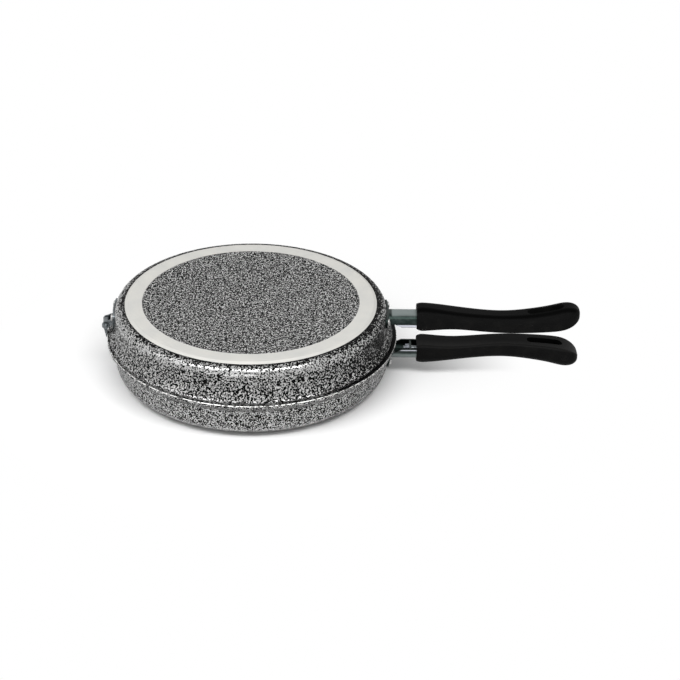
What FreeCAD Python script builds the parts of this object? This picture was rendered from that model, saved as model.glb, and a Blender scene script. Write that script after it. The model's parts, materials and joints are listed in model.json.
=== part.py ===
"""Double sided flip pan: two hinged pans, each with a riveted bracket and a moulded grip.

Frame: origin at the centre of the lower pan's base, +X towards the grips, +Z up, millimetres.
"""
import FreeCAD, Part
import math
import os
import Sketcher

# Driving sizes

SIZES = {
    # Pans
    "lower_depth": 40.0,
    "upper_depth": 35.0,
    "rim_gap": 0.3,
    "upper_setback": 1.0,
    "wall_thickness": 2.8,
    "floor_thickness": 3.4,
    "ring_width": 16.6,
    "ring_recess": 0.5,
    "ring_chamfer_width": 2.8,
    "ring_chamfer_drop": 1.5,
    "lower_base_step": 13.2,
    "upper_base_step": 9.5,
    "lower_wall_draft": 4.4,
    "upper_wall_draft": 1.4,
    "lower_lip_flare": 5.4,
    "upper_lip_flare": 5.0,
    "lower_shoulder_land": 0.28,
    "upper_shoulder_land": 0.8,
    "lip_height": 9.0,
    "lower_rim_radius": 140.0,
    "upper_rim_inset": 3.0,
    "lower_lip_edge": 2.8,
    "upper_lip_edge": 1.9,
    "lip_bend_height": 1.0,
    "rim_chamfer": 0.4,
    "rim_land": 7.0,
    # Rivets
    "rivet_radius": 1.9,
    "rivet_head_radius": 3.4,
    "rivet_head_height": 1.7,
    "rivet_crown": 0.7,
    "rivet_play": 0.1,
    "rivet_head_play": 0.2,
    "bracket_rivet_spread": 17.5,
    "hinge_rivet_spread": 14.0,
    "lower_rivet_below_base": 18.5,
    "upper_rivet_below_base": 13.5,
    # Brackets and hinge leaves
    "seat_play": 0.12,
    "plate_thickness": 1.8,
    "plate_corner_round": 3.4,
    "bracket_end": 4.8,
    "flange_below_rivet": 5.5,
    "flange_above_rivet": 4.8,
    "shank_width": 22.5,
    "shank_height": 11.6,
    "shank_below_rivet": 3.4,
    "shank_round": 8.0,
    "shank_edge_round": 0.5,
    "shank_step_clearance": 5.5,
    "shank_step_run": 6.5,
    "shank_step_height": 3.2,
    "nut_wall_inset": 7.5,
    "nut_room": 6.7,
    "shank_entry": 12.3,
    # Grips
    "grip_length": 157.5,
    "grip_bend": 8.0,
    "grip_width": 29.0,
    "grip_height": 21.5,
    "upper_grip_rise": 0.3,
    "lower_grip_drop": 2.1,
    "bolt_offset": 1.9,
    "grip_play": 0.15,
    "slot_tip_wall": 15.2,
    "slot_length": 35.0,
    "slot_width": 9.6,
    # Grip bolts
    "bolt_radius": 2.5,
    "bolt_play": 0.15,
    "bolt_head_radius": 4.4,
    "bolt_head_length": 3.4,
    "bolt_seat_depth": 8.0,
    "driver_slot_width": 1.2,
    "driver_slot_depth": 1.4,
    "nut_flats": 8.0,
    "nut_length": 4.0,
    "bolt_tail": 2.0,
    "washer_radius": 4.5,
    "washer_thickness": 1.0,
    # Hinge
    "pin_clearance": 0.8,
    "pin_rise": 9.0,
    "pin_radius": 2.0,
    "pin_hold": 0.02,
    "pin_running": 0.08,
    "knuckle_radius": 3.4,
    "knuckle_half_width": 5.0,
    "cheek_gap": 0.4,
    "cheek_thickness": 1.6,
    "cheek_nose": 4.2,
    "cheek_root_rise": 7.0,
    "leaf_end": 5.5,
    "leaf_thickness": 1.6,
    "lower_leaf_above_lip": 3.0,
    "upper_leaf_above_lip": 1.5,
    "leaf_above_rivet": 4.8,
    "tongue_play": 0.6,
    "pin_head_radius": 3.4,
    "pin_head_length": 1.5,
    "ring_radius": 3.2,
    "ring_length": 1.0,
    "pin_tail": 0.8,
    # Cuts
    "overrun": 5.0,
}

# Grip stations from its front: along, rise of the centre line, height and width, as shares of the grip's
# length, bend, height and width
GRIP_SHARES = (
    (0.0, 0.47, 0.88, 0.90),
    (0.012, 0.46, 0.96, 0.94),
    (0.06, 0.45, 1.0, 0.965),
    (0.20, 0.36, 0.795, 0.90),
    (0.38, 0.02, 0.725, 0.845),
    (0.55, -0.16, 0.755, 0.85),
    (0.70, 0.03, 0.81, 0.93),
    (0.84, 0.42, 0.925, 1.0),
    (0.93, 0.80, 0.91, 0.965),
    (0.98, 0.98, 0.62, 0.70),
    (1.0, 1.04, 0.27, 0.34),
)
OUTER_CORNER_SHARE = 0.5
INNER_CORNER_SHARE = 0.16
# Outline of a cheek's nose beyond the pin, from its top: reach past the pin and rise, as shares of the nose
NOSE_SHARES = (
    (0.0, 1.0),
    (0.5, 0.85),
    (0.9, 0.4),
    (0.9, -0.4),
    (0.5, -0.85),
    (0.0, -1.0),
)
TONGUE_SHARE = 0.95
CROWN_SHARE = 2.0
SEARCH_SHARE = 0.25
HEXAGON_SIDES = 6
FULL_TURN = 360.0
HALF_TURN = 180.0
QUARTER_TURN = 90.0

doc = FreeCAD.newDocument("FlipPan")
sheet = doc.addObject("Spreadsheet::Sheet", "Sizes")


class Size:
    """A number with the sheet's words for it, so that sums of sizes stay bound to the sheet."""

    def __init__(self, value, words):
        self.value = float(value)
        self.words = words

    def __add__(self, other):
        """Sum of two sizes."""
        other = size(other)
        return Size(self.value + other.value, f"({self.words} + {other.words})")

    def __sub__(self, other):
        """Difference of two sizes."""
        other = size(other)
        return Size(self.value - other.value, f"({self.words} - {other.words})")

    def __mul__(self, other):
        """Product of two sizes."""
        other = size(other)
        return Size(self.value * other.value, f"({self.words} * {other.words})")

    def __truediv__(self, other):
        """Ratio of two sizes."""
        other = size(other)
        return Size(self.value / other.value, f"({self.words} / {other.words})")

    def __neg__(self):
        """The size to the other side of zero."""
        return Size(-self.value, f"(0 - {self.words})")

    __radd__ = __add__
    __rmul__ = __mul__


def size(thing):
    """Return a Size for a sheet alias, a plain number or a Size."""
    if isinstance(thing, Size):
        return thing
    if isinstance(thing, str):
        return Size(SIZES[thing], f"Sizes.{thing}")
    return Size(thing, repr(float(thing)))


def degrees(number):
    """An angle with its unit, so that it adds to worked-out angles."""
    return Size(number, f"{float(number)!r} deg")


def arc_tangent(rise, run):
    """Angle in degrees of a slope."""
    return Size(math.degrees(math.atan(rise.value / run.value)), f"atan({rise.words} / {run.words})")


def arc_sine(opposite, radius):
    """Angle in degrees whose sine is opposite over radius."""
    angle = math.degrees(math.asin(opposite.value / radius.value))
    return Size(angle, f"asin({opposite.words} / {radius.words})")


def cosine(angle):
    """Cosine of an angle in degrees."""
    return Size(math.cos(math.radians(angle.value)), f"cos({angle.words})")


def sine(angle):
    """Sine of an angle in degrees."""
    return Size(math.sin(math.radians(angle.value)), f"sin({angle.words})")


def tangent(angle):
    """Tangent of an angle in degrees."""
    return Size(math.tan(math.radians(angle.value)), f"tan({angle.words})")


# Places worked out from the sizes: reaches from the pan's axis, and the pin's height over the base
SHANK_STEP = size("lower_rim_radius") + size("shank_step_clearance")
NUT_WALL = SHANK_STEP + size("nut_wall_inset")
GRIP_FRONT = NUT_WALL + size("nut_room")
SHANK_END = GRIP_FRONT + size("shank_entry")
SLOT_START = GRIP_FRONT + size("grip_length") - size("slot_tip_wall") - size("slot_length")
PIN_REACH = size("lower_rim_radius") + size("pin_clearance")
PIN_HEIGHT = size("lower_depth") + size("pin_rise")


def fill_sheet():
    """Write every driving size into the sheet under its own alias."""
    for row, (alias, value) in enumerate(SIZES.items(), start=1):
        sheet.set(f"A{row}", alias)
        sheet.set(f"B{row}", str(value))
        sheet.setAlias(f"B{row}", alias)
    doc.recompute()


# Drawing helpers

def origin_plane(body, role):
    """The body's own plane of that role."""
    return next(item for item in body.Origin.OriginFeatures if item.Role == role)


def new_sketch(body, name, role, offset=None):
    """Attach a sketch to one of its body's own planes, offset along the plane's normal."""
    sketch = body.newObject("Sketcher::SketchObject", name)
    sketch.AttachmentSupport = [(origin_plane(body, role), "")]
    sketch.MapMode = "FlatFace"
    if offset is not None:
        sketch.setExpression("AttachmentOffset.Base.z", offset.words)
    return sketch


def tie(sketch, kind, element, point, where):
    """Hold one point of an element at its distance from the sketch's origin."""
    index = sketch.addConstraint(Sketcher.Constraint(kind, -1, 1, element, point, where.value))
    sketch.setExpression(f"Constraints[{index}]", where.words)


def draw_outline(sketch, points):
    """Draw a closed outline of straight sides through the given points."""
    corners = [(size(across), size(up)) for across, up in points]
    count = len(corners)
    for index, (across, up) in enumerate(corners):
        far_across, far_up = corners[(index + 1) % count]
        start = FreeCAD.Vector(across.value, up.value, 0)
        end = FreeCAD.Vector(far_across.value, far_up.value, 0)
        sketch.addGeometry(Part.LineSegment(start, end), False)
    for index, (across, up) in enumerate(corners):
        sketch.addConstraint(Sketcher.Constraint("Coincident", index, 2, (index + 1) % count, 1))
        tie(sketch, "DistanceX", index, 1, across)
        tie(sketch, "DistanceY", index, 1, up)


def draw_circle(sketch, radius, across=0, up=0):
    """Draw a circle of a given radius about a point."""
    across, up, radius = size(across), size(up), size(radius)
    centre = FreeCAD.Vector(across.value, up.value, 0)
    element = sketch.addGeometry(Part.Circle(centre, FreeCAD.Vector(0, 0, 1), radius.value), False)
    tie(sketch, "DistanceX", element, 3, across)
    tie(sketch, "DistanceY", element, 3, up)
    index = sketch.addConstraint(Sketcher.Constraint("Radius", element, radius.value))
    sketch.setExpression(f"Constraints[{index}]", radius.words)


def draw_rounded_box(sketch, half, middle, half_width, half_height, outer_round, inner_round):
    """Draw a box about a point up the sketch, its outer corners rounded unlike those by the parting plane."""
    quarters = ((1, 1, 0), (-1, 1, 1), (-1, -1, 2), (1, -1, 3))
    quarter = math.pi / 2
    normal = FreeCAD.Vector(0, 0, 1)
    radii = [outer_round if sy == half.side else inner_round for _, sy, _ in quarters]
    centres = [
        ((half_width - radius) * sx, middle + (half_height - radius) * sy)
        for radius, (sx, sy, _) in zip(radii, quarters)
    ]
    arcs = []
    for radius, (across, up), (_, _, turn) in zip(radii, centres, quarters):
        circle = Part.Circle(FreeCAD.Vector(across.value, up.value, 0), normal, radius.value)
        arc = Part.ArcOfCircle(circle, turn * quarter, (turn + 1) * quarter)
        arcs.append((sketch.addGeometry(arc, False), arc))
    for index, (element, arc) in enumerate(arcs):
        following, next_arc = arcs[(index + 1) % len(arcs)]
        side = sketch.addGeometry(Part.LineSegment(arc.EndPoint, next_arc.StartPoint), False)
        sketch.addConstraint(Sketcher.Constraint("Tangent", element, 2, side, 1))
        sketch.addConstraint(Sketcher.Constraint("Tangent", side, 2, following, 1))
    for (element, _), (across, up) in zip(arcs, centres):
        tie(sketch, "DistanceX", element, 3, across)
        tie(sketch, "DistanceY", element, 3, up)
    for (element, _), radius in zip(arcs, radii):
        index = sketch.addConstraint(Sketcher.Constraint("Radius", element, radius.value))
        sketch.setExpression(f"Constraints[{index}]", radius.words)


def bind(item, **properties):
    """Bind properties of an object to the sheet."""
    for name, value in properties.items():
        item.setExpression(name, size(value).words)


def place(item, spot, yaw=0, pitch=0, roll=0):
    """Bind an object's placement: its spot, then its yaw, pitch and roll in degrees."""
    across, deep, up = (size(value).words for value in spot)
    angles = (value if isinstance(value, Size) else degrees(value) for value in (yaw, pitch, roll))
    turns = "; ".join(angle.words for angle in angles)
    item.setExpression("Placement", f"placement(vector({across}; {deep}; {up}); rotation({turns}))")


def new_body(name):
    """An empty body under its own label."""
    body = doc.addObject("PartDesign::Body", name)
    body.Label = name
    return body


def revolve(body, name, points, angle=FULL_TURN):
    """Turn an outline of radius and height about the vertical axis."""
    sketch = new_sketch(body, f"{name}_outline", "XZ_Plane")
    draw_outline(sketch, points)
    turned = body.newObject("PartDesign::Revolution", name)
    turned.Profile = sketch
    turned.ReferenceAxis = (sketch, ["V_Axis"])
    turned.Midplane = True
    turned.setExpression("Angle", size(angle).words)
    return turned


def pad(body, name, role, draw, length, offset=None, symmetric=False):
    """Pad a drawn outline along its plane's normal."""
    sketch = new_sketch(body, f"{name}_outline", role, offset)
    draw(sketch)
    raised = body.newObject("PartDesign::Pad", name)
    raised.Profile = sketch
    if symmetric:
        raised.SideType = "Symmetric"
    bind(raised, Length=length)
    return raised


def pocket(body, name, role, draw, length, offset=None, symmetric=False, reverse=False):
    """Cut a drawn outline out of the body."""
    sketch = new_sketch(body, f"{name}_outline", role, offset)
    draw(sketch)
    cut = body.newObject("PartDesign::Pocket", name)
    cut.Profile = sketch
    cut.Reversed = reverse
    if symmetric:
        cut.SideType = "Symmetric"
    bind(cut, Length=length)
    return cut


def drill(body, name, radius, length, spot, yaw=0, pitch=0):
    """Cut a round hole from a spot along the turned vertical."""
    hole = body.newObject("PartDesign::SubtractiveCylinder", name)
    bind(hole, Radius=radius, Height=length)
    place(hole, spot, yaw, pitch)
    return hole


def round_edges(body, name, wanted, radius):
    """Fillet the edges of the body's last feature that a test picks out."""
    doc.recompute()
    tip = body.Tip
    edges = [f"Edge{number}" for number, edge in enumerate(tip.Shape.Edges, start=1) if wanted(edge)]
    fillet = body.newObject("PartDesign::Fillet", name)
    fillet.Base = (tip, edges)
    bind(fillet, Radius=radius)
    return fillet


def ring_edge(radius, height):
    """Test for a full circle of a radius at a height."""
    def wanted(edge):
        curve = edge.Curve
        if not isinstance(curve, Part.Circle):
            return False
        near = size("rim_chamfer").value * SEARCH_SHARE
        return abs(curve.Radius - radius.value) < near and abs(curve.Center.z - height.value) < near
    return wanted


class Half:
    """Sizes of one half, measured away from the parting plane: side is 1 for the upper, -1 for the lower."""

    def __init__(self, name, side):
        self.name = name
        self.side = side
        self.parting = size("lower_depth")
        self.shift = -size("upper_setback") if side > 0 else size(0)
        self.depth = size(f"{name}_depth")
        self.rim = size("rim_gap") if side > 0 else size(0)
        self.rim_radius = size("lower_rim_radius") - (size("upper_rim_inset") if side > 0 else 0)
        self.wall = self.rim_radius - size(f"{name}_lip_flare")
        self.corner = self.wall - size(f"{name}_wall_draft")
        self.ring = self.corner - size(f"{name}_base_step")
        self.lip_edge = size(f"{name}_lip_edge")
        self.corner_height = self.depth - size("ring_chamfer_drop")
        self.draft = arc_tangent(self.wall - self.corner, self.corner_height - size("lip_height"))
        self.rivet_height = self.depth - size(f"{name}_rivet_below_base")
        self.shank_axis = self.rivet_height - size("shank_below_rivet")
        self.bolt_axis = self.shank_axis - size("bolt_offset")
        self.grip_axis = self.bolt_axis + (size("upper_grip_rise") if side > 0 else -size("lower_grip_drop"))

    def up(self, away):
        """Height of a place that lies so far from the parting plane."""
        return self.parting + size(away) * self.side

    def wall_at(self, away):
        """Outer radius of the straight wall so far from the parting plane."""
        share = (self.corner_height - size(away)) / (self.corner_height - size("lip_height"))
        return self.corner + (self.wall - self.corner) * share

    def rivet_angle(self, yaw):
        """Angle about the pan's axis between an end's middle and one of its rivets."""
        return arc_sine(rivet_spread(yaw), self.wall_at(self.rivet_height))

    def outward(self):
        """Pitch that lays a rivet along the wall's outward normal."""
        return degrees(QUARTER_TURN) - self.draft * self.side

    def rivet_spot(self, heading, stand_off):
        """Spot on the wall's normal at a rivet, stand_off outside the wall."""
        radius = self.wall_at(self.rivet_height) + stand_off * cosine(self.draft)
        height = self.up(self.rivet_height) + stand_off * sine(self.draft) * self.side
        return (self.shift + radius * cosine(heading), radius * sine(heading), height)


LOWER = Half("lower", -1)
UPPER = Half("upper", 1)
GRIP_END_YAW = 0.0
HINGE_END_YAW = HALF_TURN


def rivet_spread(yaw):
    """Distance of an end's rivets from its middle."""
    return size("bracket_rivet_spread" if yaw == GRIP_END_YAW else "hinge_rivet_spread")


def headings(half, yaw):
    """Yaw of the two rivets on one end."""
    return (degrees(yaw) - half.rivet_angle(yaw), degrees(yaw) + half.rivet_angle(yaw))


# Pans

def make_pan(half):
    """A pan: base ring, shoulder, drafted wall and lip, hollow inside, drilled for its rivets."""
    body = new_body(f"{half.name}_pan")
    bind(body, **{"Placement.Base.x": half.shift})
    thick = size("wall_thickness")
    floor = half.depth - size("floor_thickness")
    corner_drop = half.corner_height
    bend = half.lip_edge + size("lip_bend_height")
    inner_corner = half.corner - thick
    inner_rim = half.rim_radius - size("rim_land")
    outline = (
        (0, half.depth - size("ring_recess")),
        (half.ring - size("ring_width"), half.depth - size("ring_recess")),
        (half.ring - size("ring_width"), half.depth),
        (half.ring - size("ring_chamfer_width"), half.depth),
        (half.ring, corner_drop),
        (half.corner, corner_drop),
        (half.wall, size("lip_height")),
        (half.rim_radius - size("lip_bend_height"), bend),
        (half.rim_radius, half.lip_edge),
        (half.rim_radius, half.rim + size("rim_chamfer")),
        (half.rim_radius - size("rim_chamfer"), half.rim),
        (inner_rim, half.rim),
        (half.wall - thick, size("lip_height")),
        (inner_corner, floor),
        (0, floor),
    )
    revolve(body, f"{half.name}_pan_wall", [(radius, half.up(away)) for radius, away in outline])
    land = size(f"{half.name}_shoulder_land")
    shoulder = (half.corner - half.ring - land) / tangent((degrees(QUARTER_TURN) - half.draft) / 2)
    round_edges(body, f"{half.name}_shoulder_round", ring_edge(half.corner, half.up(corner_drop)), shoulder)
    inner_round = shoulder - thick
    round_edges(body, f"{half.name}_inner_round", ring_edge(inner_corner, half.up(floor)), inner_round)
    reach = size("overrun") + thick
    for end, yaw in (("grip", GRIP_END_YAW), ("hinge", HINGE_END_YAW)):
        for number, heading in enumerate(headings(half, yaw), start=1):
            spot = half.rivet_spot(heading, -reach)
            spot = (spot[0] - half.shift, spot[1], spot[2])
            radius = size("rivet_radius") + size("rivet_play")
            drill(body, f"{half.name}_{end}_hole{number}", radius, reach * 2, spot, heading, half.outward())
    return body


def make_rivets(half, end, yaw, plate):
    """Two rivets through the wall and the plate on it, as one node of separate solids."""
    thick = size("wall_thickness")
    play = size("rivet_head_play")
    head = size("rivet_head_height")
    inside = -(thick + play)
    outside = size("seat_play") + size(plate) + play
    shank = size("rivet_radius")
    wide = size("rivet_head_radius")
    crown = size("rivet_crown")
    flat = wide - crown * CROWN_SHARE
    outline = (
        (0, inside - head),
        (flat, inside - head),
        (wide, inside - head + crown),
        (wide, inside),
        (shank, inside),
        (shank, outside),
        (wide, outside),
        (wide, outside + head - crown),
        (flat, outside + head),
        (0, outside + head),
    )
    pair = []
    for number, heading in enumerate(headings(half, yaw), start=1):
        body = new_body(f"{half.name}_{end}_rivet{number}")
        revolve(body, f"{half.name}_{end}_rivet{number}_turning", outline)
        place(body, half.rivet_spot(heading, size(0)), heading, half.outward())
        pair.append(body)
    node = doc.addObject("Part::Compound", f"{half.name}_{end}_rivets")
    node.Label = node.Name
    node.Links = pair
    return node


# Plates that lie on the walls

def plate_outline(half, low, high, thickness):
    """Section of a plate that follows the drafted wall, seat_play outside it."""
    inner = size("seat_play") / cosine(half.draft)
    outer = inner + size(thickness) / cosine(half.draft)
    return [
        (half.wall_at(low) + inner, half.up(low)),
        (half.wall_at(low) + outer, half.up(low)),
        (half.wall_at(high) + outer, half.up(high)),
        (half.wall_at(high) + inner, half.up(high)),
    ]


def plate_corner(half_span):
    """Test for the short straight edges across a plate's thickness at its two ends."""
    def wanted(edge):
        if not isinstance(edge.Curve, Part.Line):
            return False
        near = size("plate_corner_round").value * SEARCH_SHARE
        ends = [abs(vertex.Point.y) for vertex in edge.Vertexes]
        return min(ends) > half_span.value - near and edge.Length < size("plate_thickness").value + near
    return wanted


def make_plate(body, half, yaw, low, high, thickness, end):
    """A curved plate on the wall with two rivet holes, built about the pan's axis."""
    half_span = rivet_spread(yaw) + size(end)
    span = arc_sine(half_span, half.wall_at(low)) * 2
    points = plate_outline(half, low, high, thickness)
    direction = 1 if yaw == GRIP_END_YAW else -1
    revolve(body, f"{body.Name}_plate", [(radius * direction, height) for radius, height in points], span)
    round_edges(body, f"{body.Name}_plate_corners", plate_corner(half_span), size("plate_corner_round"))
    reach = size("overrun")
    for number, heading in enumerate(headings(half, yaw), start=1):
        spot = half.rivet_spot(heading, -reach)
        spot = (spot[0] - half.shift, spot[1], spot[2])
        radius = size("rivet_radius") + size("rivet_play")
        drill(body, f"{body.Name}_hole{number}", radius, reach * 2, spot, heading, half.outward())


def clear_wall(body, half):
    """Cut away what lies inside the plate's seat on the wall."""
    inner = size("seat_play") / cosine(half.draft)
    low, high = size(0), half.corner_height
    sketch = new_sketch(body, f"{body.Name}_wall_outline", "XZ_Plane")
    draw_outline(sketch, (
        (0, half.up(low)),
        (half.wall_at(low) + inner, half.up(low)),
        (half.wall_at(high) + inner, half.up(high)),
        (0, half.up(high)),
    ))
    cut = body.newObject("PartDesign::Groove", f"{body.Name}_wall_cut")
    cut.Profile = sketch
    cut.ReferenceAxis = (sketch, ["V_Axis"])
    cut.Angle = FULL_TURN


def make_bracket(half):
    """A handle bracket: wall plate, open channel with its closed side outward, and the nut's wall."""
    body = new_body(f"{half.name}_handle_bracket")
    bind(body, **{"Placement.Base.x": half.shift})
    thick = size("plate_thickness")
    wide = size("shank_width") / 2
    tall = size("shank_height") / 2
    axis = half.up(half.shank_axis)
    start = half.corner
    round_outer = size("shank_round")
    round_edge = size("shank_edge_round")
    open_edge = half.shank_axis - tall

    def outer(sketch):
        draw_rounded_box(sketch, half, axis, wide, tall, round_outer, round_edge)

    def inner(sketch):
        middle = axis - size("overrun") * half.side
        high = tall - thick + size("overrun")
        draw_rounded_box(sketch, half, middle, wide - thick, high, round_outer - thick, round_edge)

    pad(body, f"{body.Name}_channel", "YZ_Plane", outer, SHANK_END - start, start)
    pocket(body, f"{body.Name}_hollow", "YZ_Plane", inner, SHANK_END - start, start, reverse=True)

    def open_side(sketch):
        far = half.up(open_edge + size("shank_step_height"))
        near = half.up(open_edge - size("overrun"))
        slope = SHANK_STEP - size("shank_step_run")
        draw_outline(sketch, (
            (start - thick, near),
            (SHANK_STEP, near),
            (SHANK_STEP, half.up(open_edge)),
            (slope, far),
            (start - thick, far),
        ))

    pocket(body, f"{body.Name}_cutback", "XZ_Plane", open_side, size("shank_width") * 2, symmetric=True)
    clear_wall(body, half)

    def nut_wall(sketch):
        low = open_edge + size("rim_chamfer")
        high = half.shank_axis + tall - thick / 2
        middle = half.up((low + high) / 2)
        half_tall = (high - low) / 2
        draw_rounded_box(sketch, half, middle, wide - thick / 2, half_tall, round_outer - thick / 2, round_edge)

    pad(body, f"{body.Name}_nut_wall", "YZ_Plane", nut_wall, thick, NUT_WALL)
    hole = size("bolt_radius") + size("bolt_play")
    spot = (NUT_WALL - size("overrun"), 0, half.up(half.bolt_axis))
    drill(body, f"{body.Name}_bolt_hole", hole, size("overrun") * 2 + thick, spot, 0, QUARTER_TURN)
    low = half.rivet_height - size("flange_below_rivet")
    high = half.rivet_height + size("flange_above_rivet")
    make_plate(body, half, GRIP_END_YAW, low, high, "plate_thickness", "bracket_end")
    return body


# Grips and their bolts

def make_grip(half):
    """A moulded grip: lofted body, seat for the shank, bolt bore and hang slot."""
    body = new_body(f"{half.name}_grip")
    bind(body, **{"Placement.Base.x": half.shift})
    height = size("grip_height")
    width = size("grip_width")
    sections = []
    for number, (along, rise, tall, wide) in enumerate(GRIP_SHARES, start=1):
        offset = GRIP_FRONT + size("grip_length") * along
        sketch = new_sketch(body, f"{body.Name}_section{number}", "YZ_Plane", offset)
        middle = half.up(half.grip_axis + size("grip_bend") * rise)
        depth = height * tall
        outer_round = depth * OUTER_CORNER_SHARE
        inner_round = depth * INNER_CORNER_SHARE
        draw_rounded_box(sketch, half, middle, width * wide / 2, depth / 2, outer_round, inner_round)
        sections.append(sketch)
    loft = body.newObject("PartDesign::AdditiveLoft", f"{body.Name}_loft")
    loft.Profile = sections[0]
    loft.Sections = sections[1:]
    play = size("grip_play")
    front = GRIP_FRONT - size("overrun")

    def shank_seat(sketch):
        half_width = size("shank_width") / 2 + play
        half_height = size("shank_height") / 2 + play
        edge = size("shank_edge_round")
        middle = half.up(half.shank_axis)
        draw_rounded_box(sketch, half, middle, half_width, half_height, size("shank_round"), edge)

    depth = SHANK_END + play - front
    pocket(body, f"{body.Name}_shank_seat", "YZ_Plane", shank_seat, depth, front, reverse=True)

    def slot(sketch):
        end_radius = size("slot_width") / 2
        start = SLOT_START
        length = size("slot_length")
        draw_slot(sketch, start + end_radius, start + length - end_radius, end_radius)

    middle = half.up(half.bolt_axis)
    pocket(body, f"{body.Name}_hang_slot", "XY_Plane", slot, height * 4, middle, symmetric=True)
    bore_start = SHANK_END - size("overrun")
    spot = (bore_start, 0, middle)
    bore = size("bolt_radius") + size("bolt_play")
    depth = SLOT_START - bore_start + size("overrun")
    drill(body, f"{body.Name}_bolt_bore", bore, depth, spot, 0, QUARTER_TURN)
    seat_start = SLOT_START - size("bolt_seat_depth")
    spot = (seat_start, 0, middle)
    seat = size("washer_radius") + size("bolt_play")
    depth = size("bolt_seat_depth") + size("overrun")
    drill(body, f"{body.Name}_bolt_seat", seat, depth, spot, 0, QUARTER_TURN)
    return body


def draw_slot(sketch, start, end, radius):
    """Draw a slot with round ends along the sketch's horizontal axis."""
    quarter = math.pi / 2
    normal = FreeCAD.Vector(0, 0, 1)
    arcs = []
    for across, first in ((start, quarter), (end, -quarter)):
        circle = Part.Circle(FreeCAD.Vector(across.value, 0, 0), normal, radius.value)
        arc = Part.ArcOfCircle(circle, first, first + math.pi)
        element = sketch.addGeometry(arc, False)
        arcs.append((element, arc))
    for index, (element, arc) in enumerate(arcs):
        following, next_arc = arcs[1 - index]
        side = sketch.addGeometry(Part.LineSegment(arc.EndPoint, next_arc.StartPoint), False)
        sketch.addConstraint(Sketcher.Constraint("Tangent", element, 2, side, 1))
        sketch.addConstraint(Sketcher.Constraint("Tangent", side, 2, following, 1))
    for (element, _), across in zip(arcs, (start, end)):
        tie(sketch, "DistanceX", element, 3, across)
        tie(sketch, "DistanceY", element, 3, size(0))
    index = sketch.addConstraint(Sketcher.Constraint("Radius", arcs[0][0], radius.value))
    sketch.setExpression(f"Constraints[{index}]", radius.words)


def lay_along_grip(body, half, along):
    """Lay a turned piece along the grip's bolt line, its own vertical pointing to the tip."""
    place(body, (along + half.shift, 0, half.up(half.bolt_axis)), pitch=QUARTER_TURN)


def bolt_head_seat():
    """Where the bolt's head bears, from the pan's axis: the near face of the head."""
    return SLOT_START - size("bolt_seat_depth") + size("washer_thickness") + size("bolt_play") * 2


def make_bolt(half):
    """A long bolt through the grip with a driver slot in its head."""
    body = new_body(f"{half.name}_grip_bolt")
    head_seat = bolt_head_seat()
    tail = NUT_WALL - size("bolt_play") - size("nut_length") - size("bolt_tail")
    length = head_seat - tail
    radius = size("bolt_radius")
    head = size("bolt_head_radius")
    top = size("bolt_head_length")
    outline = (
        (0, -length),
        (radius - size("rim_chamfer"), -length),
        (radius, -length + size("rim_chamfer")),
        (radius, 0),
        (head, 0),
        (head, top - size("rim_chamfer")),
        (head - size("rim_chamfer"), top),
        (0, top),
    )
    revolve(body, f"{body.Name}_turning", outline)

    def driver_slot(sketch):
        across = size("driver_slot_width") / 2
        reach = head + size("overrun")
        draw_outline(sketch, ((-reach, -across), (reach, -across), (reach, across), (-reach, across)))

    depth = size("driver_slot_depth")
    pocket(body, f"{body.Name}_driver_slot", "XY_Plane", driver_slot, depth + size("overrun"),
           top + size("overrun"))
    lay_along_grip(body, half, head_seat)
    return body


def make_washer(half):
    """A flat washer under the bolt's head."""
    body = new_body(f"{half.name}_grip_washer")
    inner = size("bolt_radius") + size("bolt_play")
    outer = size("washer_radius")
    thick = size("washer_thickness")
    revolve(body, f"{body.Name}_turning", ((inner, -thick), (outer, -thick), (outer, 0), (inner, 0)))
    lay_along_grip(body, half, bolt_head_seat() - size("bolt_play"))
    return body


def make_nut(half):
    """A hexagon nut that bears on the bracket's inner wall."""
    body = new_body(f"{half.name}_grip_nut")
    step = FULL_TURN / HEXAGON_SIDES
    reach = size("nut_flats") / 2 / cosine(degrees(step / 2))

    def hexagon(sketch):
        corners = [degrees(turn * step) for turn in range(HEXAGON_SIDES)]
        draw_outline(sketch, [(reach * cosine(turn), reach * sine(turn)) for turn in corners])

    pad(body, f"{body.Name}_hexagon", "XY_Plane", hexagon, size("nut_length"))

    def bore(sketch):
        draw_circle(sketch, size("bolt_radius") + size("pin_hold"))

    depth = (size("nut_length") + size("overrun")) * 2
    pocket(body, f"{body.Name}_bore", "XY_Plane", bore, depth, symmetric=True)
    lay_along_grip(body, half, NUT_WALL - size("bolt_play") - size("nut_length"))
    return body


# Hinge

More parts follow.
